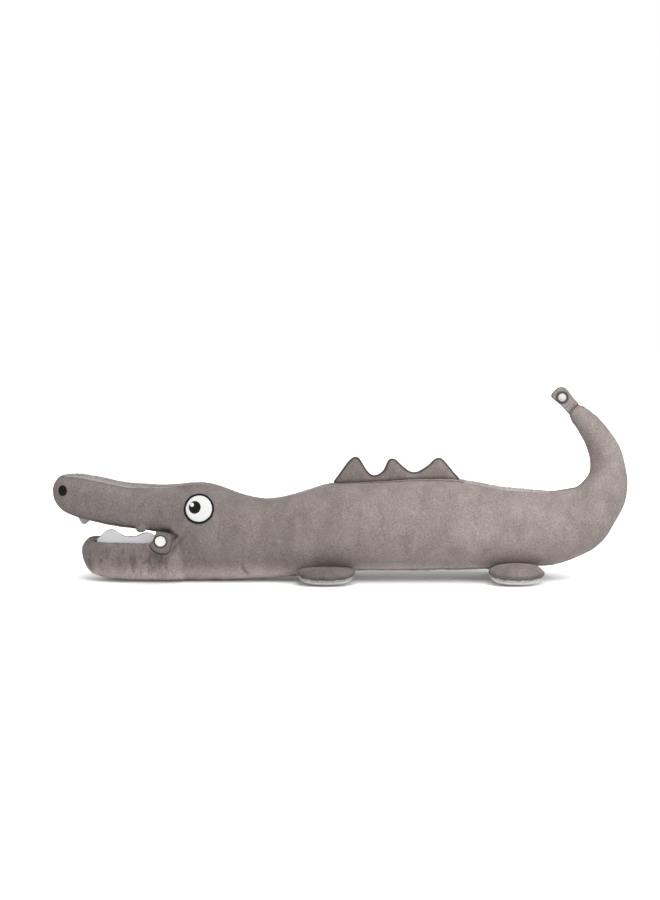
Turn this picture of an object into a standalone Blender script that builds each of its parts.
"""A stuffed plush crocodile, 0.7 m long, lying on its chin and four flat feet.

The cover is sewn from panels round a fibre filling. The snout, head, torso and two lengths of tail are
separate stuffed forms that meet at rounded knuckles, so the mouth opens, the neck turns and the tail curls.
Metres, +Z up, the nose towards -X and the crocodile's left side towards -Y. The origin is on the floor
under the middle of the whole length.
"""

import math

import bmesh
import bpy
import numpy as np
from mathutils import Matrix, Vector

for old in list(bpy.data.objects):
    bpy.data.objects.remove(old, do_unlink=True)

# Driving dimensions of the stuffed body
NECK_X = -0.0872  # the neck joint, from the middle of the whole length
HEAD_LENGTH = 0.1198  # neck joint to the corner of the mouth
TORSO_LENGTH = 0.3492  # neck joint to the tail's root
SNOUT_LENGTH = 0.1341  # jaw joint to the nose
LOWER_JAW_LENGTH = 0.1082  # corner of the mouth to the chin

NECK_TOP = 0.0988
NECK_BOTTOM = 0.0020
NECK_WIDTH = 0.0846
CROWN_TOP = 0.1195
HEAD_WIDTH = 0.0920
MOUTH_TOP = 0.1150
MOUTH_WIDTH = 0.0890
BACK_TOP = 0.1240
BELLY_BOTTOM = 0.0118
TORSO_WIDTH = 0.1060
ROOT_TOP = 0.1080
ROOT_BOTTOM = 0.0183
ROOT_WIDTH = 0.0870

LIP_HEIGHT = 0.0525  # top of the lower jaw
JAW_WIDTH = 0.0866
CHIN_RISE = 0.0315  # floor to the tip of the chin
MOUTH_GAP = 0.0075  # between the two lips at the jaw joint
SNOUT_WIDTH = 0.0780
NOSE_TOP = 0.1306  # highest point of the snout
NOSE_TIP = 0.1060  # height of the nose's tip
TIP_SIZE = 0.0060  # the small blunt end of the nose and of the chin

TAIL_REACH = 0.0654  # root to the tail's furthest middle point
TAIL_RISE = 0.1478  # root to the tail's tip
TAIL_CURL = math.radians(137.0)
TAIL_TIP_RADIUS = 0.0083

FLAT_DEPTH = 0.0005  # how deep the floor flattens the underside

# Driving dimensions of the sewn-on pieces
FOOT_LENGTH = 0.0710
FOOT_WIDTH = 0.0580
FRONT_FOOT_HEIGHT = 0.0205
REAR_FOOT_HEIGHT = 0.0245  # its crown fills the higher space under the rump
FOOT_SEAM = 0.0066  # height of the edge seam
FOOT_SPREAD = 0.0440  # middle plane to the middle of a foot
FOOT_CLEARANCE = 0.0012  # under the belly, whose facets are coarser than the foot's
FRONT_FOOT_PLACE_SHARE = 0.2025  # of the torso, from the neck joint
REAR_FOOT_PLACE_SHARE = 0.8712

FIN_LENGTH = 0.1524
FIN_HEIGHT = 0.0290
FIN_THICKNESS = 0.0120
FIN_EDGE = 0.0026  # thickness at the sewn edge
FIN_PLACE_SHARE = 0.4487  # of the torso, from the neck joint
FIN_LEAN = math.radians(1.2)  # how the back rises under it

EYE_DIAMETER = 0.0370
EYE_RIM = 0.0021
EYE_FROM_MOUTH = 0.0373
EYE_HEIGHT = 0.0915
PUPIL_DIAMETER = 0.0141
PUPIL_FORWARD = 0.0046  # from the eye's middle
PUPIL_UP = 0.0016
GLINT_DIAMETER = 0.0055
GLINT_FORWARD = 0.0039  # from the pupil's middle
GLINT_UP = 0.0020
NOSTRIL_LENGTH = 0.0106
NOSTRIL_HEIGHT = 0.0127
NOSTRIL_FROM_NOSE = 0.0140
NOSTRIL_DROP = 0.0195  # below the snout's highest point
FELT = 0.0008
STITCH = 0.0011

TOOTH_LENGTH = 0.0725
TOOTH_HEIGHT = 0.0155
UPPER_TOOTH_HEIGHT = 0.0110
TOOTH_THICKNESS = 0.0016
TOOTH_BACK = 0.0150  # corner of the mouth to the lower strip
UPPER_TOOTH_FRONT = 0.0250  # nose to the upper strip

MOUTH_TAB_LENGTH = 0.0255
MOUTH_TAB_WIDTH = 0.0255
MOUTH_TAB_DROP = math.radians(15.2)  # slope of its sewn edge
MOUTH_TAB_LEAN = math.radians(28.0)  # how far it stands off the cheek
MOUTH_TAB_FORWARD = 0.0040  # its middle, in front of the mouth's corner
MOUTH_TAB_Z = 0.0605
MOUTH_SNAP_ALONG = 0.0122
MOUTH_SNAP_ACROSS = -0.0043
TAIL_TAB_LENGTH = 0.0245
TAIL_TAB_WIDTH = 0.0165
TAIL_SNAP_ALONG = 0.0160
TAB_THICKNESS = 0.0026

SNAP_CAP = 0.0139
SNAP_CAP_HEIGHT = 0.0014
SNAP_SOCKET = 0.0104
SNAP_SOCKET_HEIGHT = 0.0024
SNAP_STUD = 0.0092
SNAP_STUD_FLANGE = 0.0010
SNAP_STUD_POST = 0.0046
SNAP_STUD_HEIGHT = 0.0030
SNAP_PRONG = 0.0028  # the cap's prong, which passes through the tab

# The cloth, and the gaps that keep pieces from touching
CLOTH = 0.0020
GAP = 0.0003
KNUCKLE_CLEARANCE = 0.0007
TAB_CLEARANCE = 0.0007  # from a tab's round edge to the cheek that it swings on
OVERRUN = 0.0100  # how far a cutter passes what it cuts

# How far each joint turns, which sets the open wedge that it needs
JAW_TURN = math.radians(12.0)
NECK_TURN = math.radians(15.0)
ROOT_TURN = math.radians(10.0)
MID_TURN = math.radians(14.0)
TURN_MARGIN = math.radians(3.0)

# Counts of facets
STRIP_STEPS = 2
SIDE_STEPS = 6
DISC_STEPS = 20
ROUND_STEPS = 24

# Colours
GREY = (0.240, 0.205, 0.194)
PALE_GREY = (0.310, 0.270, 0.255)
DARK_GREY = (0.205, 0.172, 0.160)
SOLE_GREY = (0.520, 0.500, 0.490)
FIBRE_WHITE = (0.850, 0.850, 0.840)
TOOTH_WHITE = (0.660, 0.660, 0.680)
FELT_WHITE = (0.900, 0.900, 0.900)
THREAD_BLACK = (0.010, 0.010, 0.011)
SNAP_WHITE = (0.880, 0.880, 0.870)
CLOTH_ROUGHNESS = 0.95
THREAD_ROUGHNESS = 0.50
SNAP_ROUGHNESS = 0.25


def material(name, colour, roughness):
    """A plain Principled material."""
    made = bpy.data.materials.new(name)
    made.use_nodes = True
    shader = made.node_tree.nodes["Principled BSDF"]
    shader.inputs["Base Color"].default_value = (*colour, 1.0)
    shader.inputs["Roughness"].default_value = roughness
    shader.inputs["Metallic"].default_value = 0.0
    made.diffuse_color = (*colour, 1.0)
    return made


plush = material("short_plush", GREY, CLOTH_ROUGHNESS)
long_pile = material("long_pile_plush", PALE_GREY, CLOTH_ROUGHNESS)
dark_plush = material("dark_plush", DARK_GREY, CLOTH_ROUGHNESS)
sole_plush = material("sole_plush", SOLE_GREY, CLOTH_ROUGHNESS)
fibre = material("fibre_filling", FIBRE_WHITE, CLOTH_ROUGHNESS)
tooth_cloth = material("tooth_cloth", TOOTH_WHITE, CLOTH_ROUGHNESS)
eye_felt = material("eye_felt", FELT_WHITE, CLOTH_ROUGHNESS)
thread = material("black_thread", THREAD_BLACK, THREAD_ROUGHNESS)
snap_plastic = material("snap_plastic", SNAP_WHITE, SNAP_ROUGHNESS)


def add_object(name, points, faces, finish, parent=None):
    """One named object from world points, hung on a joint's empty where it moves."""
    mesh = bpy.data.meshes.new(name)
    shape = bmesh.new()
    corners = [shape.verts.new(tuple(map(float, point))) for point in points]
    for face in faces:
        shape.faces.new([corners[i] for i in face])
    bmesh.ops.recalc_face_normals(shape, faces=shape.faces)
    shape.to_mesh(mesh)
    shape.free()
    mesh.shade_smooth()
    mesh.set_sharp_from_angle(angle=math.radians(40.0))
    made = bpy.data.objects.new(name, mesh)
    made.data.materials.append(finish)
    bpy.context.scene.collection.objects.link(made)
    hang(made, parent)
    return made


def halves(corners, flip=False):
    """A four-cornered face as two triangles that always share the diagonal from its first corner."""
    a, b, c, d = corners
    return [[a, c, b], [a, d, c]] if flip else [[a, b, c], [a, c, d]]


def hang(made, parent):
    """Parents an object to an empty without moving it."""
    if parent is not None:
        made.parent = parent
        made.matrix_parent_inverse = parent.matrix_world.inverted()


def joint_empty(name, place, parent=None):
    """An empty on a joint's axis."""
    made = bpy.data.objects.new(name, None)
    made.location = place
    bpy.context.scene.collection.objects.link(made)
    bpy.context.view_layer.update()
    if parent is not None:
        made.parent = parent
        made.matrix_parent_inverse = parent.matrix_world.inverted()
        bpy.context.view_layer.update()
    return made


def cut_by(made, cutter):
    """Takes the cutter's shape out of an object."""
    cut = made.modifiers.new("cut by " + cutter.name, "BOOLEAN")
    cut.operation = "DIFFERENCE"
    cut.solver = "EXACT"
    cut.object = cutter


def as_cutter(made):
    made.hide_render = True
    made.display_type = "WIRE"
    return made


def ellipsoid_cutter(name, centre, half_sizes):
    """A hollow-maker for the socket round a knuckle."""
    mesh = bpy.data.meshes.new(name)
    shape = bmesh.new()
    bmesh.ops.create_uvsphere(shape, u_segments=ROUND_STEPS, v_segments=ROUND_STEPS // 2, radius=1.0)
    bmesh.ops.scale(shape, vec=half_sizes, verts=shape.verts)
    bmesh.ops.translate(shape, vec=centre, verts=shape.verts)
    shape.to_mesh(mesh)
    shape.free()
    made = bpy.data.objects.new(name, mesh)
    bpy.context.scene.collection.objects.link(made)
    return as_cutter(made)


def mix(low, high, share):
    return low + (high - low) * share


class Section:
    """One cross-section of a stuffed form: its middle, its lean and how far it reaches each way."""

    def __init__(self, x, z, width, up, down, lean=0.0, full_up=2.0, full_down=2.0):
        self.x = x
        self.z = z
        self.width = width
        self.up = up
        self.down = down
        self.lean = lean
        self.full_up = full_up
        self.full_down = full_down

    def values(self):
        sizes = [self.x, self.z, self.width, self.up, self.down]
        return np.array([*sizes, self.lean, self.full_up, self.full_down])


def upright(x, bottom, top, width, waist_share=0.5, full_up=2.0, full_down=2.0):
    """A section that stands square to the floor, widest at a share of its height."""
    z = mix(bottom, top, waist_share)
    return Section(x, z, width, top - z, z - bottom, 0.0, full_up, full_down)


def section_between(first, second, share):
    return Section(*mix(first.values(), second.values(), share))


def ring_turns(section, top_share, bottom_share):
    """The angles round a section, with the seams of the top and bottom strips at a share of its width."""
    top = math.acos(top_share ** (section.full_up / 2))
    bottom = math.acos(bottom_share ** (section.full_down / 2))
    half, turn = math.pi, 2 * math.pi
    over = np.linspace(top, half - top, STRIP_STEPS, endpoint=False)
    left = np.linspace(half - top, half + bottom, SIDE_STEPS, endpoint=False)
    under = np.linspace(half + bottom, turn - bottom, STRIP_STEPS, endpoint=False)
    right = np.linspace(turn - bottom, turn + top, SIDE_STEPS, endpoint=False)
    return np.concatenate([over, left, under, right])


TOP_STRIP = (0, STRIP_STEPS)
LEFT_SIDE = (STRIP_STEPS, STRIP_STEPS + SIDE_STEPS)
BOTTOM_STRIP = (STRIP_STEPS + SIDE_STEPS, 2 * STRIP_STEPS + SIDE_STEPS)
RIGHT_SIDE = (2 * STRIP_STEPS + SIDE_STEPS, 2 * STRIP_STEPS + 2 * SIDE_STEPS)


def ring(section, turns):
    """The points round one section, in the world."""
    cosine, sine = np.cos(turns), np.sin(turns)
    full = np.where(sine >= 0, section.full_up, section.full_down)
    reach = np.where(sine >= 0, section.up, section.down)
    across = section.width / 2 * np.sign(cosine) * np.abs(cosine) ** (2 / full)
    high = reach * np.sign(sine) * np.abs(sine) ** (2 / full)
    x = section.x - high * math.sin(section.lean)
    z = section.z + high * math.cos(section.lean)
    return np.stack([x, across, z], axis=1)


class Form:
    """The surface of one stuffed form, with the directions that point out of it and the way round it."""

    def __init__(self, sections, top_share, bottom_share, flat_ends=(True, True)):
        self.sections = sections
        self.points = np.array([ring(one, ring_turns(one, top_share, bottom_share)) for one in sections])
        along = np.gradient(self.points, axis=0)
        around = np.roll(self.points, -1, axis=1) - np.roll(self.points, 1, axis=1)
        self.around = around / np.linalg.norm(around, axis=2, keepdims=True)
        out = np.cross(along, around)
        middles = self.points.mean(axis=1, keepdims=True)
        if np.einsum("ijk,ijk->", out, self.points - middles) < 0:
            out = -out
        for end, flat in zip((0, -1), flat_ends):
            if flat:
                lean = sections[end].lean
                straight = np.array([math.cos(lean), 0.0, math.sin(lean)])
                out[end] -= np.outer(out[end] @ straight, straight)
        self.out = out / np.linalg.norm(out, axis=2, keepdims=True)

    def inside(self, depth):
        """The same surface, moved in by a depth."""
        return self.points - depth * self.out

    def outline_at(self, x):
        """The outline of an upright form at a place along it, between its two nearest sections."""
        places = np.array([one.x for one in self.sections])
        order = np.argsort(places)
        after = int(np.clip(np.searchsorted(places[order], x), 1, len(places) - 1))
        first, second = order[after - 1], order[after]
        share = np.clip((x - places[first]) / (places[second] - places[first]), 0.0, 1.0)
        return mix(self.points[first], self.points[second], share)

    def side_at(self, x, z):
        """How far the form's side stands from the middle plane at a place seen from the side."""
        outline = self.outline_at(x)
        flank = outline[outline[:, 1] < 0]
        flank = flank[np.argsort(flank[:, 2])]
        return -float(np.interp(z, flank[:, 2], flank[:, 1]))

    def height_at(self, x, y, top):
        """The height of the form's upper or under side over a place on the floor."""
        outline = self.outline_at(x)
        middle = (outline[:, 2].max() + outline[:, 2].min()) / 2
        half = outline[outline[:, 2] >= middle] if top else outline[outline[:, 2] <= middle]
        half = half[np.argsort(half[:, 1])]
        return float(np.interp(y, half[:, 1], half[:, 2]))


def cover_panel(name, form, span, finish, parent=None, on_floor=False):
    """One panel of the cover: a sheet of cloth between two seams, a hair's breadth from its neighbours."""
    count = form.points.shape[1]
    columns = [i % count for i in range(span[0], span[1] + 1)]
    outer = form.points[:, columns].copy()
    inner = form.inside(CLOTH)[:, columns].copy()
    around = form.around[:, columns]
    for edge, side in ((0, 1), (-1, -1)):
        outer[:, edge] += side * GAP / 2 * around[:, edge]
        inner[:, edge] += side * GAP / 2 * around[:, edge]
    if on_floor:
        outer[..., 2] = np.maximum(outer[..., 2], 0.0)
    rows, width = outer.shape[:2]
    points = np.concatenate([outer.reshape(-1, 3), inner.reshape(-1, 3)])
    under = rows * width

    def at(i, j):
        return i * width + j

    faces = []
    for i in range(rows - 1):
        for j in range(width - 1):
            face = [at(i, j), at(i + 1, j), at(i + 1, j + 1), at(i, j + 1)]
            faces += halves(face)
            faces += halves([under + k for k in face], flip=True)
        for j in (0, width - 1):
            faces.append([at(i, j), at(i + 1, j), under + at(i + 1, j), under + at(i, j)])
    for i in (0, rows - 1):
        for j in range(width - 1):
            faces.append([at(i, j), at(i, j + 1), under + at(i, j + 1), under + at(i, j)])
    return add_object(name, points, faces, finish, parent)


def knuckle_rings(form_ring, centre, half_width, half_height, radius, forward):
    """Rings of a rounded end that turns in its neighbour's socket, from its rim to near its pole."""
    middle = np.array([centre[0], 0.0, centre[1]])
    up = np.array([-forward[2], 0.0, forward[0]])
    spoke = form_ring - form_ring.mean(axis=0)
    turn = np.arctan2(spoke @ up / half_height, spoke[:, 1] / half_width)
    steps = 5
    rings = []
    for k in range(steps):
        lift = math.pi / 2 * k / steps
        wide = half_width * math.cos(lift) * np.cos(turn)
        high = half_height * math.cos(lift) * np.sin(turn)
        centre_here = middle + forward * radius * math.sin(lift)
        rings.append(centre_here + np.outer(wide, [0.0, 1.0, 0.0]) + np.outer(high, up))
    return rings, middle + forward * radius


def solid_of_rings(name, rings, poles, finish, parent=None):
    """A closed solid from rings of points and the two points that close its ends."""
    count = len(rings[0])
    points = np.concatenate([*rings, np.array(poles)])
    faces = []
    for i in range(len(rings) - 1):
        for j in range(count):
            n = (j + 1) % count
            faces += halves([i * count + j, (i + 1) * count + j, (i + 1) * count + n, i * count + n])
    first = len(rings) * count
    last_ring = first - count
    for j in range(count):
        n = (j + 1) % count
        faces.append([first, j, n])
        faces.append([first + 1, last_ring + n, last_ring + j])
    return add_object(name, points, faces, finish, parent)


def pad(name, lower, upper, poles, finish, parent=None):
    """A closed pad from the rings of its lower and its upper side, both from the middle outwards."""
    count = len(lower[0])
    points = np.concatenate([*lower, *upper, np.array(poles)])
    layer = len(lower) * count
    low_pole = 2 * layer
    faces = []
    for j in range(count):
        n = (j + 1) % count
        faces += [[low_pole, n, j], [low_pole + 1, layer + j, layer + n]]
        for i in range(len(lower) - 1):
            face = [i * count + j, (i + 1) * count + j, (i + 1) * count + n, i * count + n]
            faces += halves(face, flip=True)
            faces += halves([layer + k for k in face])
        rim = layer - count
        faces += halves([rim + j, rim + n, layer + rim + n, layer + rim + j])
    return add_object(name, points, faces, finish, parent)


def filling(name, form, knuckles=(), parent=None):
    """The stuffing inside a form's cover, with a knuckle on each end that turns in a socket."""
    rings = list(form.inside(CLOTH + GAP))
    poles = [rings[0].mean(axis=0), rings[-1].mean(axis=0)]
    for end, forward, centre, half_width, half_height, radius in knuckles:
        extra, pole = knuckle_rings(rings[end], centre, half_width, half_height, radius, np.array(forward))
        poles[end] = pole
        rings = rings + extra if end == -1 else list(reversed(extra)) + rings
    return solid_of_rings(name, rings, poles, fibre, parent)


# The head: a full, boxy crown that narrows to the neck. Each row holds the share of the way from the mouth
# to the neck, then how far the top, the underside and the width have gone from the neck's to the head's.
mouth_x = NECK_X - HEAD_LENGTH
HEAD_WAIST_SHARE = 0.42
HEAD_FULL = 2.9
neck_wedge = NECK_WIDTH / 2 * math.tan(NECK_TURN + TURN_MARGIN)
MOUTH_ROW_SHARES = ((0.00, 0.00), (0.18, 0.78))
HEAD_ROW_SHARES = (
    (0.31, 1.00, 1.00, 1.00),
    (0.43, 0.88, 1.00, 0.95),
    (0.59, 0.60, 1.00, 0.62),
    (0.75, 0.26, 1.00, 0.30),
)


def head_sections():
    made = []
    for along, share in MOUTH_ROW_SHARES:
        top = mix(MOUTH_TOP, CROWN_TOP, share)
        width = mix(MOUTH_WIDTH, HEAD_WIDTH, share)
        x = mix(mouth_x, NECK_X, along)
        made.append(upright(x, -FLAT_DEPTH, top, width, HEAD_WAIST_SHARE, HEAD_FULL, HEAD_FULL))
    for along, top_share, bottom_share, width_share in HEAD_ROW_SHARES:
        made.append(
            upright(
                mix(mouth_x, NECK_X, along),
                mix(NECK_BOTTOM, -FLAT_DEPTH, bottom_share),
                mix(NECK_TOP, CROWN_TOP, top_share),
                mix(NECK_WIDTH, HEAD_WIDTH, width_share),
                mix(0.5, HEAD_WAIST_SHARE, width_share),
                mix(2.0, HEAD_FULL, width_share),
                mix(2.0, HEAD_FULL, width_share),
            )
        )
    neck = upright(NECK_X, NECK_BOTTOM, NECK_TOP, NECK_WIDTH)
    rim_share = 1.0 - neck_wedge / (NECK_X - made[-1].x)
    made.append(section_between(made[-1], neck, rim_share))
    return made


head_rows = head_sections()
TOP_SEAM_SHARE = 0.40
HEAD_BELLY_SHARE = 0.60
head_form = Form(head_rows, TOP_SEAM_SHARE, HEAD_BELLY_SHARE)

# The torso, from the neck joint to the tail's root. The front rows grow from the neck and the rear rows
# shrink to the tail: share of the way, then shares of the top, the underside and the width.
TORSO_FRONT_SHARES = (
    (0.000, 0.00, 0.00, 0.00),
    (0.056, 0.10, 0.20, 0.12),
    (0.112, 0.29, 0.36, 0.35),
    (0.168, 0.58, 0.48, 0.60),
    (0.224, 0.82, 0.66, 0.78),
    (0.338, 0.86, 0.92, 0.95),
    (0.461, 0.94, 1.00, 1.00),
    (0.600, 1.00, 1.00, 1.00),
)
TORSO_REAR_SHARES = (
    (0.705, 0.80, 0.98, 0.92),
    (0.810, 0.42, 0.90, 0.76),
    (0.915, 0.12, 0.62, 0.40),
    (1.000, 0.00, 0.00, 0.00),
)


def torso_sections():
    ends = (
        (TORSO_FRONT_SHARES, NECK_TOP, NECK_BOTTOM, NECK_WIDTH),
        (TORSO_REAR_SHARES, ROOT_TOP, ROOT_BOTTOM, ROOT_WIDTH),
    )
    made = []
    for rows, top, bottom, width in ends:
        for along, top_share, bottom_share, width_share in rows:
            made.append(
                upright(
                    NECK_X + TORSO_LENGTH * along,
                    mix(bottom, BELLY_BOTTOM, bottom_share),
                    mix(top, BACK_TOP, top_share),
                    mix(width, TORSO_WIDTH, width_share),
                )
            )
    return made


torso_rows = torso_sections()
TORSO_BELLY_SHARE = 0.55
torso_form = Form(torso_rows, TOP_SEAM_SHARE, TORSO_BELLY_SHARE)

# The snout, from the jaw joint to the nose. Each row holds the share of the way, then the lip's rise from
# the mouth's corner to the nose's tip, the top's rise to the nose and the share of the width.
SNOUT_WAIST_SHARE = 0.42
SNOUT_FULL_UP = 2.7
SNOUT_FULL_DOWN = 3.4
jaw_reach = (MOUTH_TOP - LIP_HEIGHT) / 2
jaw_wedge = jaw_reach * math.tan(JAW_TURN + TURN_MARGIN)
jaw_x = mouth_x - jaw_wedge
lip_back = LIP_HEIGHT + MOUTH_GAP
SNOUT_ROW_SHARES = (
    (0.000, 0.00, 0.00, 1.00),
    (0.060, 0.04, 0.05, 0.99),
    (0.200, 0.11, 0.13, 0.96),
    (0.350, 0.19, 0.24, 0.92),
    (0.500, 0.25, 0.53, 0.87),
    (0.640, 0.34, 0.78, 0.81),
    (0.780, 0.44, 1.00, 0.72),
    (0.870, 0.54, 0.98, 0.63),
    (0.930, 0.65, 0.84, 0.50),
    (0.975, 0.79, 0.56, 0.32),
)
nose_x = jaw_x - SNOUT_LENGTH


def snout_sections():
    made = []
    for along, lip_share, top_share, width_share in SNOUT_ROW_SHARES:
        made.append(
            upright(
                mix(jaw_x, nose_x, along),
                mix(lip_back, NOSE_TIP, lip_share),
                mix(MOUTH_TOP, NOSE_TOP, top_share),
                SNOUT_WIDTH * width_share,
                SNOUT_WAIST_SHARE,
                SNOUT_FULL_UP,
                SNOUT_FULL_DOWN,
            )
        )
    made.append(upright(nose_x, NOSE_TIP, NOSE_TIP + TIP_SIZE, TIP_SIZE))
    return made


snout_rows = snout_sections()
PALATE_SHARE = 0.80
snout_form = Form(snout_rows, TOP_SEAM_SHARE, PALATE_SHARE, (True, False))

# The lower jaw, from the corner of the mouth to the chin: share of the way, then the underside's rise to
# the chin's tip, the top's fall to it and the share of the width.
JAW_WAIST_SHARE = 0.55
JAW_FULL_UP = 3.4
JAW_FULL_DOWN = 2.6
JAW_ROW_SHARES = (
    (0.000, 0.00, 0.00, 1.00),
    (0.200, 0.02, 0.00, 0.97),
    (0.400, 0.05, 0.00, 0.91),
    (0.600, 0.09, 0.00, 0.83),
    (0.750, 0.15, 0.00, 0.75),
    (0.860, 0.30, 0.04, 0.62),
    (0.940, 0.55, 0.22, 0.45),
    (0.985, 0.80, 0.58, 0.25),
)
chin_x = mouth_x - LOWER_JAW_LENGTH


def jaw_sections():
    made = []
    for along, bottom_share, top_share, width_share in JAW_ROW_SHARES:
        made.append(
            upright(
                mix(mouth_x - GAP, chin_x, along),
                mix(-FLAT_DEPTH, CHIN_RISE, bottom_share),
                mix(LIP_HEIGHT, CHIN_RISE, top_share),
                JAW_WIDTH * width_share,
                JAW_WAIST_SHARE,
                JAW_FULL_UP,
                JAW_FULL_DOWN,
            )
        )
    made.append(upright(chin_x, CHIN_RISE - TIP_SIZE / 2, CHIN_RISE + TIP_SIZE / 2, TIP_SIZE))
    return made


jaw_rows = jaw_sections()
FLOOR_LINING_SHARE = 0.80
CHIN_STRIP_SHARE = 0.60
jaw_form = Form(jaw_rows, FLOOR_LINING_SHARE, CHIN_STRIP_SHARE, (True, False))

# The tail, in two lengths. Each row holds shares of the reach, the rise and the curl, and of the radius
# from the root's to the tip's.
root_x = NECK_X + TORSO_LENGTH
root_z = (ROOT_TOP + ROOT_BOTTOM) / 2
root_radius = (ROOT_TOP - ROOT_BOTTOM) / 2
root_wedge = root_radius * math.tan(ROOT_TURN + TURN_MARGIN)
TAIL_BASE_SHARES = (
    (0.560, 0.095, 0.120, 0.900),
    (0.690, 0.145, 0.190, 0.825),
    (0.795, 0.208, 0.270, 0.725),
    (0.884, 0.266, 0.340, 0.640),
    (0.940, 0.316, 0.400, 0.570),
    (0.985, 0.380, 0.480, 0.490),
    (0.998, 0.430, 0.560, 0.430),
)
TAIL_MID_SHARES = (0.990, 0.486, 0.657, 0.385)
TAIL_TIP_SHARES = (
    (0.948, 0.604, 0.700, 0.340),
    (0.880, 0.690, 0.760, 0.292),
    (0.810, 0.748, 0.800, 0.250),
    (0.731, 0.802, 0.832, 0.210),
    (0.634, 0.857, 0.868, 0.168),
    (0.528, 0.912, 0.905, 0.123),
    (0.420, 0.959, 0.956, 0.060),
    (0.336, 1.000, 1.000, 0.000),
)
TAIL_WIDTH_SHARE = 0.97


def tail_section(shares):
    reach_share, rise_share, curl_share, radius_share = shares
    radius = mix(TAIL_TIP_RADIUS, root_radius, radius_share)
    x = root_x + TAIL_REACH * reach_share
    z = root_z + TAIL_RISE * rise_share
    return Section(x, z, 2 * radius * TAIL_WIDTH_SHARE, radius, radius, TAIL_CURL * curl_share)


mid_section = tail_section(TAIL_MID_SHARES)
mid_wedge = mid_section.up * math.tan(MID_TURN + TURN_MARGIN)
mid_forward = (math.cos(mid_section.lean), math.sin(mid_section.lean))
mid_rim = Section(
    mid_section.x + mid_wedge * mid_forward[0],
    mid_section.z + mid_wedge * mid_forward[1],
    mix(mid_section.width, tail_section(TAIL_TIP_SHARES[0]).width, 0.5),
    mix(mid_section.up, tail_section(TAIL_TIP_SHARES[0]).up, 0.5),
    mix(mid_section.down, tail_section(TAIL_TIP_SHARES[0]).down, 0.5),
    mid_section.lean,
)
ROOT_RIM_SHARE = 0.97
ROOT_RIM_CLIMB_SHARE = 0.20
root_rim = Section(
    root_x + root_wedge,
    root_z + root_wedge * ROOT_RIM_CLIMB_SHARE,
    ROOT_WIDTH * ROOT_RIM_SHARE,
    root_radius * ROOT_RIM_SHARE,
    root_radius * ROOT_RIM_SHARE,
)
base_rows = [root_rim] + [tail_section(shares) for shares in TAIL_BASE_SHARES] + [mid_section]
tip_rows = [mid_rim] + [tail_section(shares) for shares in TAIL_TIP_SHARES]
TAIL_SEAM_SHARE = 0.25
base_form = Form(base_rows, TAIL_SEAM_SHARE, TAIL_SEAM_SHARE)
tip_form = Form(tip_rows, TAIL_SEAM_SHARE, TAIL_SEAM_SHARE)

# Joints
neck_z = (NECK_TOP + NECK_BOTTOM) / 2
jaw_z = (MOUTH_TOP + lip_back) / 2
neck_joint = joint_empty("neck_joint", (NECK_X, 0.0, neck_z))
jaw_joint = joint_empty("jaw_joint", (jaw_x, 0.0, jaw_z), neck_joint)
root_joint = joint_empty("tail_root_joint", (root_x, 0.0, root_z))
mid_joint = joint_empty("tail_mid_joint", (mid_section.x, 0.0, mid_section.z), root_joint)

# Covers
for side, span in (("left", LEFT_SIDE), ("right", RIGHT_SIDE)):
    cover_panel(f"snout_{side}_panel", snout_form, span, plush, jaw_joint)
    cover_panel(f"lower_jaw_{side}_panel", jaw_form, span, dark_plush, neck_joint)
    cover_panel(f"head_{side}_panel", head_form, span, plush, neck_joint)
    cover_panel(f"torso_{side}_panel", torso_form, span, plush)
cover_panel("snout_top_strip", snout_form, TOP_STRIP, long_pile, jaw_joint)
cover_panel("palate_lining", snout_form, BOTTOM_STRIP, dark_plush, jaw_joint)
cover_panel("mouth_floor_lining", jaw_form, TOP_STRIP, dark_plush, neck_joint)
cover_panel("chin_strip", jaw_form, BOTTOM_STRIP, plush, neck_joint, on_floor=True)
cover_panel("crown_strip", head_form, TOP_STRIP, long_pile, neck_joint)
cover_panel("throat_strip", head_form, BOTTOM_STRIP, plush, neck_joint, on_floor=True)
cover_panel("back_strip", torso_form, TOP_STRIP, long_pile)
cover_panel("belly_strip", torso_form, BOTTOM_STRIP, plush)
TAIL_LEFT = (STRIP_STEPS // 2, STRIP_STEPS + SIDE_STEPS + STRIP_STEPS // 2)
TAIL_RIGHT = (TAIL_LEFT[1], TAIL_LEFT[1] + STRIP_STEPS + SIDE_STEPS)
for side, span in (("left", TAIL_LEFT), ("right", TAIL_RIGHT)):
    cover_panel(f"tail_base_{side}_panel", base_form, span, plush, root_joint)
    cover_panel(f"tail_tip_{side}_panel", tip_form, span, plush, mid_joint)

# Fillings, with their knuckles and the sockets that hold them
KNUCKLE_SHARE = 0.90
fill_depth = CLOTH + GAP
neck_half = (NECK_WIDTH / 2 - fill_depth) * KNUCKLE_SHARE
neck_high = ((NECK_TOP - NECK_BOTTOM) / 2 - fill_depth) * KNUCKLE_SHARE
jaw_half = (SNOUT_WIDTH / 2 - fill_depth) * KNUCKLE_SHARE
jaw_high = ((MOUTH_TOP - lip_back) / 2 - fill_depth) * KNUCKLE_SHARE
root_half = (ROOT_WIDTH / 2 - fill_depth) * KNUCKLE_SHARE
root_high = (root_radius - fill_depth) * KNUCKLE_SHARE
mid_half = (mid_section.width / 2 - fill_depth) * KNUCKLE_SHARE
mid_high = (mid_section.up - fill_depth) * KNUCKLE_SHARE

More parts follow.
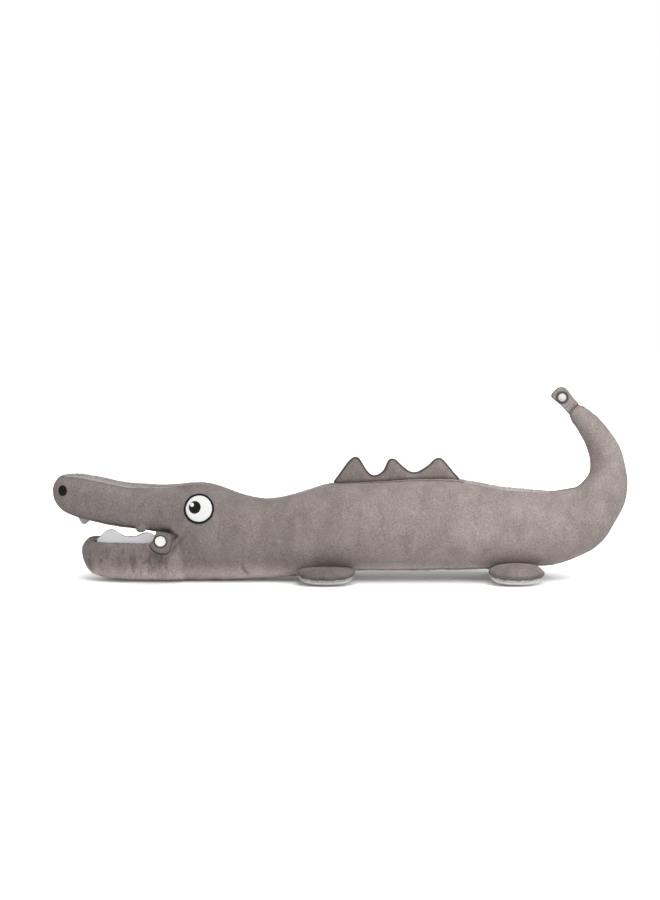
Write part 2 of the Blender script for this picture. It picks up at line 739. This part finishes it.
mid_forward_3d = (mid_forward[0], 0.0, mid_forward[1])
neck_knuckle = (0, (-1.0, 0.0, 0.0), (NECK_X, neck_z), neck_half, neck_high, neck_half)
root_knuckle = (-1, (1.0, 0.0, 0.0), (root_x, root_z), root_half, root_high, root_high)
jaw_knuckle = (0, (1.0, 0.0, 0.0), (jaw_x, jaw_z), jaw_half, jaw_high, jaw_high)
mid_knuckle = (-1, mid_forward_3d, (mid_section.x, mid_section.z), mid_half, mid_high, mid_high)

filling("snout_filling", snout_form, (jaw_knuckle,), jaw_joint)
filling("lower_jaw_filling", jaw_form, parent=neck_joint)
filling("torso_filling", torso_form, (neck_knuckle, root_knuckle))
head_filling = filling("head_filling", head_form, parent=neck_joint)
base_filling = filling("tail_base_filling", base_form, (mid_knuckle,), parent=root_joint)
tip_filling = filling("tail_tip_filling", tip_form, parent=mid_joint)


def socket(made, name, centre, half_sizes):
    sizes = [size + KNUCKLE_CLEARANCE for size in half_sizes]
    cut_by(made, ellipsoid_cutter(name, (centre[0], 0.0, centre[1]), sizes))


socket(head_filling, "neck_socket", (NECK_X, neck_z), (neck_half, neck_half, neck_high))
socket(head_filling, "jaw_socket", (jaw_x, jaw_z), (jaw_high, jaw_half, jaw_high))
socket(base_filling, "tail_root_socket", (root_x, root_z), (root_high, root_half, root_high))
socket(tip_filling, "tail_mid_socket", (mid_section.x, mid_section.z), (mid_high, mid_half, mid_high))


# The feet: flat oval pads, domed on top and pressed flat underneath, with a seam round the edge. Each hangs
# from a fold at its inner edge, where it is sewn under the belly.
FOOT_RING_SHARES = (0.32, 0.60, 0.80, 0.92, 1.00)
SOLE_RING_SHARES = (0.80, 0.92, 1.00)
FOOT_FLAT_SHARE = 0.80
FOOT_FULL = 2.6
FOOT_FOLD_IN = 0.0020  # from the pad's inner edge to the fold
FOOT_STEPS = 12


def foot_top(share, height, limit):
    """The height of a foot's top at a share of its radius, no higher than the belly above it."""
    edge = FOOT_SEAM + (GAP + CLOTH) / 2
    dome = edge + (height - edge) * (1 - share**FOOT_FULL) ** 0.5
    return min(dome, limit - FOOT_CLEARANCE)


def foot_bottom(share):
    if share <= FOOT_FLAT_SHARE:
        return 0.0
    out = (share - FOOT_FLAT_SHARE) / (1 - FOOT_FLAT_SHARE)
    return (FOOT_SEAM - (GAP + CLOTH) / 2) * (1 - (1 - out**2) ** 0.5)


def pad_between(name, centre, shares, low, high, finish, parent):
    """A closed oval solid between two heights that change with the share of the radius."""
    turns = np.linspace(0.0, 2 * math.pi, FOOT_STEPS, endpoint=False)
    upper, lower = [], []
    for share in shares:
        places = [
            (
                centre[0] + FOOT_LENGTH / 2 * share * math.cos(turn),
                centre[1] + FOOT_WIDTH / 2 * share * math.sin(turn),
            )
            for turn in turns
        ]
        upper.append(np.array([(x, y, high(share, x, y)) for x, y in places]))
        lower.append(np.array([(x, y, low(share, x, y)) for x, y in places]))
    poles = [(*centre, low(0.0, *centre)), (*centre, high(0.0, *centre))]
    return pad(name, lower, upper, poles, finish, parent)


def foot(name, x, side, height):
    centre = (x, side * FOOT_SPREAD)
    fold_y = side * (FOOT_SPREAD - FOOT_WIDTH / 2 - FOOT_FOLD_IN)
    fold_z = torso_form.height_at(x, fold_y, False) - GAP
    fold = joint_empty(name + "_fold", (x, fold_y, fold_z))

    def top(share, at_x, at_y):
        return foot_top(share, height, torso_form.height_at(at_x, at_y, False))

    def under_top(share, at_x, at_y):
        return max(top(share, at_x, at_y) - CLOTH, FOOT_SEAM + GAP / 2)

    def sole_top(share, at_x, at_y):
        return min(foot_bottom(share) + CLOTH, FOOT_SEAM - GAP / 2)

    def sole_bottom(share, at_x, at_y):
        return foot_bottom(share)

    pad_between(name + "_top", centre, FOOT_RING_SHARES, under_top, top, dark_plush, fold)
    pad_between(name + "_sole", centre, SOLE_RING_SHARES, sole_bottom, sole_top, sole_plush, fold)
    pad_between(
        name + "_filling",
        centre,
        FOOT_RING_SHARES[:-1],
        lambda s, a, b: sole_top(s, a, b) + GAP,
        lambda s, a, b: under_top(s, a, b) - GAP,
        fibre,
        fold,
    )


front_foot_x = NECK_X + TORSO_LENGTH * FRONT_FOOT_PLACE_SHARE
rear_foot_x = NECK_X + TORSO_LENGTH * REAR_FOOT_PLACE_SHARE
for side_name, side in (("left", -1), ("right", 1)):
    foot(f"front_{side_name}_foot", front_foot_x, side, FRONT_FOOT_HEIGHT)
    foot(f"rear_{side_name}_foot", rear_foot_x, side, REAR_FOOT_HEIGHT)

# The fin: one strip with three rounded peaks, sewn from two padded faces and standing on the back strip.
# Each point of its outline holds a share of the length and of the height.
FIN_OUTLINE_SHARES = (
    (0.000, 0.05), (0.050, 0.32), (0.100, 0.68), (0.135, 0.92), (0.168, 1.00), (0.205, 0.92),
    (0.250, 0.58), (0.290, 0.27), (0.322, 0.15), (0.358, 0.27), (0.395, 0.57), (0.430, 0.83),
    (0.465, 0.88), (0.515, 0.70), (0.572, 0.43), (0.632, 0.28), (0.690, 0.44), (0.748, 0.68),
    (0.800, 0.84), (0.838, 0.88), (0.880, 0.76), (0.930, 0.48), (0.970, 0.24), (1.000, 0.05),
)
FIN_ROW_SHARES = (0.00, 0.12, 0.35, 0.65, 0.88, 1.00)
FIN_SEAT = 0.0006  # the faces' lower edge above the back
FIN_FOLD = 0.0010  # the fold's height above that edge
fin_slope = math.tan(FIN_LEAN)
fin_x = NECK_X + TORSO_LENGTH * FIN_PLACE_SHARE
fin_front = fin_x - FIN_LENGTH / 2
fin_places = [fin_front + FIN_LENGTH * along for along, _ in FIN_OUTLINE_SHARES]
fin_base = FIN_SEAT + max(torso_form.height_at(x, 0.0, True) - fin_slope * (x - fin_x) for x in fin_places)
fin_fold = joint_empty("fin_fold", (fin_x, 0.0, fin_base + FIN_FOLD))


def fin_station(along, height_share, row_share):
    """A place in the fin's middle plane and the half thickness there."""
    x = fin_front + FIN_LENGTH * along
    z = fin_base + fin_slope * (x - fin_x) + FIN_HEIGHT * height_share * row_share
    swell = (FIN_THICKNESS - FIN_EDGE) / 2 * height_share**0.5
    return x, z, FIN_EDGE / 2 + swell * (4 * row_share * (1 - row_share)) ** 0.5


def fin_layer(name, columns, row_shares, depths, finish):
    """A slab of the fin between two depths, each worked out from the half thickness."""
    layers = [[], []]
    for along, height_share in columns:
        for row_share in row_shares:
            x, z, half = fin_station(along, height_share, row_share)
            for layer, depth in zip(layers, depths):
                layer.append((x, depth(half), z))
    rows = len(row_shares)
    under = rows * len(columns)
    faces = []
    for i in range(len(columns) - 1):
        for j in range(rows - 1):
            face = [i * rows + j, (i + 1) * rows + j, (i + 1) * rows + j + 1, i * rows + j + 1]
            faces += halves(face)
            faces += halves([under + k for k in face], flip=True)
        for j in (0, rows - 1):
            here, there = i * rows + j, (i + 1) * rows + j
            faces += halves([here, there, under + there, under + here])
    for i in (0, len(columns) - 1):
        for j in range(rows - 1):
            here = i * rows + j
            faces += halves([here, here + 1, under + here + 1, under + here])
    add_object(name, layers[0] + layers[1], faces, finish, fin_fold)


def fin_inner(half):
    return max(half - CLOTH, GAP / 2)


left_depths = (lambda half: -half, lambda half: -fin_inner(half))
right_depths = (fin_inner, lambda half: half)
fill_depths = (lambda half: GAP - fin_inner(half), lambda half: fin_inner(half) - GAP)
fin_layer("fin_left_face", FIN_OUTLINE_SHARES, FIN_ROW_SHARES, left_depths, dark_plush)
fin_layer("fin_right_face", FIN_OUTLINE_SHARES, FIN_ROW_SHARES, right_depths, dark_plush)
fin_layer("fin_filling", FIN_OUTLINE_SHARES[1:-1], FIN_ROW_SHARES[1:-1], fill_depths, fibre)

# Eyes and nostrils: thin ovals that follow the cheek and the snout.
SEAT = 0.0009  # under a thin piece that bends over facets
DISC_RING_SHARES = (0.35, 0.70, 1.00)


def bent_oval(name, form, side, centre, half_length, half_height, depths, finish, parent):
    """A thin oval between two distances from a form's side."""
    turns = np.linspace(0.0, 2 * math.pi, DISC_STEPS, endpoint=False)

    def lay(share, turn, depth):
        x = centre[0] + half_length * share * math.cos(turn)
        z = centre[1] + half_height * share * math.sin(turn)
        return (x, side * (form.side_at(x, z) + depth), z)

    layers = []
    for depth in depths:
        layers.append([np.array([lay(share, t, depth) for t in turns]) for share in DISC_RING_SHARES])
    poles = [lay(0.0, 0.0, depths[0]), lay(0.0, 0.0, depths[1])]
    return pad(name, *layers, poles, finish, parent)


def bent_band(name, form, side, centre, outer, inner, depths, finish, parent):
    """A thin round band that follows a form's side."""
    points, faces = [], []
    for k in range(DISC_STEPS):
        turn = 2 * math.pi * k / DISC_STEPS
        corners = ((outer, depths[0]), (outer, depths[1]), (inner, depths[1]), (inner, depths[0]))
        for radius, depth in corners:
            x = centre[0] + radius * math.cos(turn)
            z = centre[1] + radius * math.sin(turn)
            points.append((x, side * (form.side_at(x, z) + depth), z))
        here, there = 4 * k, 4 * ((k + 1) % DISC_STEPS)
        for j in range(4):
            n = (j + 1) % 4
            faces += halves([here + j, there + j, there + n, here + n])
    return add_object(name, points, faces, finish, parent)


def bar_cutter(name, centre, axis, radius, length):
    """A round cutter through a place, along an axis."""
    mesh = bpy.data.meshes.new(name)
    shape = bmesh.new()
    turn = Vector((0.0, 0.0, 1.0)).rotation_difference(Vector(axis)).to_matrix().to_4x4()
    matrix = Matrix.Translation(Vector(centre)) @ turn
    sizes = {"radius1": radius, "radius2": radius, "depth": length}
    bmesh.ops.create_cone(shape, cap_ends=True, segments=ROUND_STEPS, matrix=matrix, **sizes)
    shape.to_mesh(mesh)
    shape.free()
    made = bpy.data.objects.new(name, mesh)
    bpy.context.scene.collection.objects.link(made)
    return as_cutter(made)


eye = (mouth_x + EYE_FROM_MOUTH, EYE_HEIGHT)
pupil = (eye[0] - PUPIL_FORWARD, eye[1] + PUPIL_UP)
glint = (pupil[0] - GLINT_FORWARD, pupil[1] + GLINT_UP)
nostril = (nose_x + NOSTRIL_FROM_NOSE, NOSE_TOP - NOSTRIL_DROP)
felt_depths = (SEAT, SEAT + FELT)
rim_depths = (SEAT, SEAT + FELT + STITCH)
pupil_depths = (SEAT + FELT + GAP, SEAT + FELT + GAP + STITCH)
rim_radius = EYE_DIAMETER / 2
felt_radius = rim_radius - EYE_RIM - GAP
pupil_radius = PUPIL_DIAMETER / 2
nostril_half = (NOSTRIL_LENGTH / 2, NOSTRIL_HEIGHT / 2)


def face_piece(kind, name, form, side, centre, half_sizes, depths, finish):
    """An eye or nostril piece on the head or, for the snout's form, on the snout."""
    parent = jaw_joint if form is snout_form else neck_joint
    return kind(name, form, side, centre, *half_sizes, depths, finish, parent)


for side_name, side in (("left", -1), ("right", 1)):
    round_felt = (felt_radius, felt_radius)
    rim_radii = (rim_radius, rim_radius - EYE_RIM)
    name = side_name + "_eye"
    face_piece(bent_oval, name + "_white", head_form, side, eye, round_felt, felt_depths, eye_felt)
    face_piece(bent_band, name + "_rim", head_form, side, eye, rim_radii, rim_depths, thread)
    name = side_name + "_pupil"
    round_pupil = (pupil_radius, pupil_radius)
    dot = face_piece(bent_oval, name, head_form, side, pupil, round_pupil, pupil_depths, thread)
    bite = (glint[0], side * (head_form.side_at(*glint) + pupil_depths[1]), glint[1])
    cut_by(dot, bar_cutter(side_name + "_glint", bite, (0, 1, 0), GLINT_DIAMETER / 2, OVERRUN))
    name = side_name + "_nostril"
    face_piece(bent_oval, name, snout_form, side, nostril, nostril_half, felt_depths, thread)

# Tooth strips: wavy bands sewn inside the lips, with two teeth each. Two of the four stand up and two are
# folded flat inwards. Each point holds a share of the length from the front and of the height.
TOOTH_OUTLINE_SHARES = (
    (0.00, 0.10), (0.06, 0.44), (0.13, 0.80), (0.20, 0.97), (0.26, 1.00), (0.34, 0.88), (0.42, 0.66),
    (0.50, 0.46), (0.58, 0.38), (0.66, 0.43), (0.74, 0.58), (0.81, 0.72), (0.87, 0.75), (0.93, 0.62),
    (1.00, 0.40),
)
LOWER_TOOTH_ACROSS_SHARE = 0.76  # of the jaw's half width
UPPER_TOOTH_ACROSS_SHARE = 0.60


def tooth_strip(name, corners_at, front, parent):
    """A wavy band: corners_at gives the four corners of its section at a place and a height."""
    points, faces = [], []
    for along, height_share in TOOTH_OUTLINE_SHARES:
        points += corners_at(front + TOOTH_LENGTH * along, height_share)
    last = len(TOOTH_OUTLINE_SHARES) - 1
    for i in range(last):
        for j in range(4):
            n = (j + 1) % 4
            faces += halves([4 * i + j, 4 * i + 4 + j, 4 * i + 4 + n, 4 * i + n])
    faces += [[0, 1, 2, 3], [4 * last + k for k in (3, 2, 1, 0)]]
    add_object(name, points, faces, tooth_cloth, parent)


def lower_tooth(side, folded):
    def corners_at(x, height_share):
        outline = jaw_form.outline_at(x)
        across = outline[:, 1].max() * LOWER_TOOTH_ACROSS_SHARE
        reach = TOOTH_HEIGHT * height_share
        width = reach if folded else TOOTH_THICKNESS
        rise = TOOTH_THICKNESS if folded else reach
        near, far = side * across, side * (across - width)
        low_near = jaw_form.height_at(x, near, True) + SEAT
        low_far = jaw_form.height_at(x, far, True) + SEAT
        high_far = low_far + rise
        high_near = low_near + rise if folded else high_far
        return [(x, near, low_near), (x, near, high_near), (x, far, high_far), (x, far, low_far)]

    return corners_at


def upper_tooth(side, folded):
    def corners_at(x, height_share):
        outline = snout_form.outline_at(x)
        across = outline[:, 1].max() * UPPER_TOOTH_ACROSS_SHARE
        reach = UPPER_TOOTH_HEIGHT * height_share
        width = reach if folded else TOOTH_THICKNESS
        drop = TOOTH_THICKNESS if folded else reach
        near, far = side * across, side * (across - width)
        high_near = snout_form.height_at(x, near, False) - SEAT
        high_far = snout_form.height_at(x, far, False) - SEAT
        low_near, low_far = high_near - drop, high_far - drop
        return [(x, near, high_near), (x, near, low_near), (x, far, low_far), (x, far, high_far)]

    return corners_at


lower_front = mouth_x - TOOTH_BACK - TOOTH_LENGTH
upper_front = nose_x + UPPER_TOOTH_FRONT
tooth_strip("lower_left_teeth", lower_tooth(-1, False), lower_front, neck_joint)
tooth_strip("lower_right_teeth", lower_tooth(1, True), lower_front, neck_joint)
tooth_strip("upper_left_teeth", upper_tooth(-1, True), upper_front, jaw_joint)
tooth_strip("upper_right_teeth", upper_tooth(1, False), upper_front, jaw_joint)

# The two tabs with their snap. Each tab is a folded strip whose sewn edge is round, so it can flap.
TAB_ROOT_SHARES = ((0.0, 0.30), (0.3, 0.71), (0.65, 0.95), (1.0, 1.0))
TAB_END_SHARES = ((0.72, 1.00), (0.88, 0.90), (0.96, 0.72), (1.00, 0.46))


def tab(name, fold, directions, length, width, hole, parent):
    """A flat tab from its fold to its rounded end, with a hole for the snap's prong."""
    fold, along, across = Vector(fold), *directions
    out = along.cross(across).normalized()
    radius = TAB_THICKNESS / 2
    stations = [(-radius * (1 - share), thick, 1.0) for share, thick in TAB_ROOT_SHARES]
    stations += [(length * share, 1.0, wide) for share, wide in TAB_END_SHARES]
    points, faces = [], []
    for place, thick_share, wide_share in stations:
        for wide, thick in ((-1, -1), (1, -1), (1, 1), (-1, 1)):
            corner = fold + along * place + across * (width / 2 * wide_share * wide)
            points.append(corner + out * (radius * thick_share * thick))
    last = len(stations) - 1
    for i in range(last):
        for j in range(4):
            n = (j + 1) % 4
            faces.append([4 * i + j, 4 * i + 4 + j, 4 * i + 4 + n, 4 * i + n])
    faces += [[0, 1, 2, 3], [4 * last + k for k in (3, 2, 1, 0)]]
    made = add_object(name, points, faces, dark_plush, parent)
    cut_by(made, bar_cutter(name + "_hole", hole, out, SNAP_PRONG / 2 + GAP, TAB_THICKNESS + OVERRUN))
    return out


def turned(name, profile, centre, axis, finish, parent):
    """A round piece from its outline of radius and height, about an axis through its centre."""
    turn = Vector((0.0, 0.0, 1.0)).rotation_difference(Vector(axis)).to_matrix()
    closed = profile[0][0] == 0.0
    turns = np.linspace(0.0, 2 * math.pi, DISC_STEPS, endpoint=False)

    def place(radius, height, t):
        return Vector(centre) + turn @ Vector((radius * math.cos(t), radius * math.sin(t), height))

    rings = [[place(radius, height, t) for t in turns] for radius, height in profile if radius > 0.0]
    if closed:
        poles = [Vector(centre) + turn @ Vector((0.0, 0.0, profile[k][1])) for k in (0, -1)]
        return solid_of_rings(name, [np.array(one) for one in rings], poles, finish, parent)
    points = [point for one in rings for point in one]
    faces = []
    for i in range(len(rings)):
        for j in range(DISC_STEPS):
            n = (j + 1) % DISC_STEPS
            here, there = i * DISC_STEPS, (i + 1) % len(rings) * DISC_STEPS
            faces.append([here + j, there + j, there + n, here + n])
    return add_object(name, points, faces, finish, parent)


# Each outline holds a radius and a height from the tab's face
CAP_EDGE_SHARE = 0.35
CAP_SHOULDER_SHARES = (0.88, 0.75)
CAP_CROWN_SHARE = 0.64
SOCKET_EDGE_SHARE = 0.60
SOCKET_RIM_SHARE = 0.84
SOCKET_FLOOR_SHARE = 0.65
STUD_EDGE_SHARES = (0.84, 0.90)
prong = SNAP_PRONG / 2
bore = prong + GAP
prong_end = -(TAB_THICKNESS + 2 * GAP + SNAP_SOCKET_HEIGHT * SOCKET_EDGE_SHARE)
cap_profile = (
    (0.0, prong_end),
    (prong, prong_end),
    (prong, GAP),
    (SNAP_CAP / 2, GAP),
    (SNAP_CAP / 2, GAP + SNAP_CAP_HEIGHT * CAP_EDGE_SHARE),
    (SNAP_CAP / 2 * CAP_SHOULDER_SHARES[0], GAP + SNAP_CAP_HEIGHT * CAP_SHOULDER_SHARES[1]),
    (SNAP_CAP / 2 * CAP_CROWN_SHARE, GAP + SNAP_CAP_HEIGHT),
    (0.0, GAP + SNAP_CAP_HEIGHT),
)
socket_profile = (
    (bore, GAP),
    (SNAP_SOCKET / 2, GAP),
    (SNAP_SOCKET / 2, GAP + SNAP_SOCKET_HEIGHT * SOCKET_EDGE_SHARE),
    (SNAP_SOCKET / 2 * SOCKET_RIM_SHARE, GAP + SNAP_SOCKET_HEIGHT),
    (SNAP_STUD_POST / 2 + GAP, GAP + SNAP_SOCKET_HEIGHT),
    (SNAP_STUD_POST / 2 + GAP, GAP + SNAP_SOCKET_HEIGHT * SOCKET_FLOOR_SHARE),
    (bore, GAP + SNAP_SOCKET_HEIGHT * SOCKET_FLOOR_SHARE),
)
stud_profile = (
    (bore, GAP),
    (SNAP_STUD / 2, GAP),
    (SNAP_STUD / 2, GAP + SNAP_STUD_FLANGE),
    (SNAP_STUD_POST / 2, GAP + SNAP_STUD_FLANGE),
    (SNAP_STUD_POST / 2, GAP + SNAP_STUD_HEIGHT * STUD_EDGE_SHARES[1]),
    (SNAP_STUD_POST / 2 * STUD_EDGE_SHARES[0], GAP + SNAP_STUD_HEIGHT),
    (bore, GAP + SNAP_STUD_HEIGHT),
)

# The mouth's tab folds out of the left corner of the mouth and stands a little off the cheek
tab_radius = TAB_THICKNESS / 2
mouth_tab_x = mouth_x - MOUTH_TAB_FORWARD
mouth_tab_y = -(head_form.side_at(mouth_x, MOUTH_TAB_Z) + TAB_CLEARANCE + tab_radius)
mouth_fold = (mouth_tab_x, mouth_tab_y, MOUTH_TAB_Z)
mouth_across = Vector((math.cos(MOUTH_TAB_DROP), 0.0, -math.sin(MOUTH_TAB_DROP)))
mouth_down = Vector((-math.sin(MOUTH_TAB_DROP), 0.0, -math.cos(MOUTH_TAB_DROP)))
mouth_along = mouth_down * math.cos(MOUTH_TAB_LEAN) + Vector((0.0, -1.0, 0.0)) * math.sin(MOUTH_TAB_LEAN)
mouth_tab_joint = joint_empty("mouth_tab_fold", mouth_fold, neck_joint)
snap_place = Vector(mouth_fold) + mouth_along * MOUTH_SNAP_ALONG + mouth_across * MOUTH_SNAP_ACROSS
directions = (mouth_along, mouth_across)
sizes = (MOUTH_TAB_LENGTH, MOUTH_TAB_WIDTH)
out = tab("mouth_tab", mouth_fold, directions, *sizes, snap_place, mouth_tab_joint)
out = out if out.y < 0 else -out
turned("mouth_snap_cap", cap_profile, snap_place + out * tab_radius, out, snap_plastic, mouth_tab_joint)
under = snap_place - out * tab_radius
turned("mouth_snap_socket", socket_profile, under, -out, snap_plastic, mouth_tab_joint)

# The tail's tab stands in the middle plane on the tail's blunt tip
tip_end = tip_rows[-1]
tail_forward = Vector((math.cos(tip_end.lean), 0.0, math.sin(tip_end.lean)))
tail_across = Vector((-math.sin(tip_end.lean), 0.0, math.cos(tip_end.lean)))
tail_fold = Vector((tip_end.x, 0.0, tip_end.z)) + tail_forward * (GAP + tab_radius)
tail_tab_joint = joint_empty("tail_tab_fold", tail_fold, mid_joint)
snap_place = tail_fold + tail_forward * TAIL_SNAP_ALONG
directions = (tail_forward, tail_across)
sizes = (TAIL_TAB_LENGTH, TAIL_TAB_WIDTH)
out = tab("tail_tab", tail_fold, directions, *sizes, snap_place, tail_tab_joint)
out = out if out.y < 0 else -out
turned("tail_snap_stud", stud_profile, snap_place + out * tab_radius, out, snap_plastic, tail_tab_joint)
turned("tail_snap_cap", cap_profile, snap_place - out * tab_radius, -out, snap_plastic, tail_tab_joint)
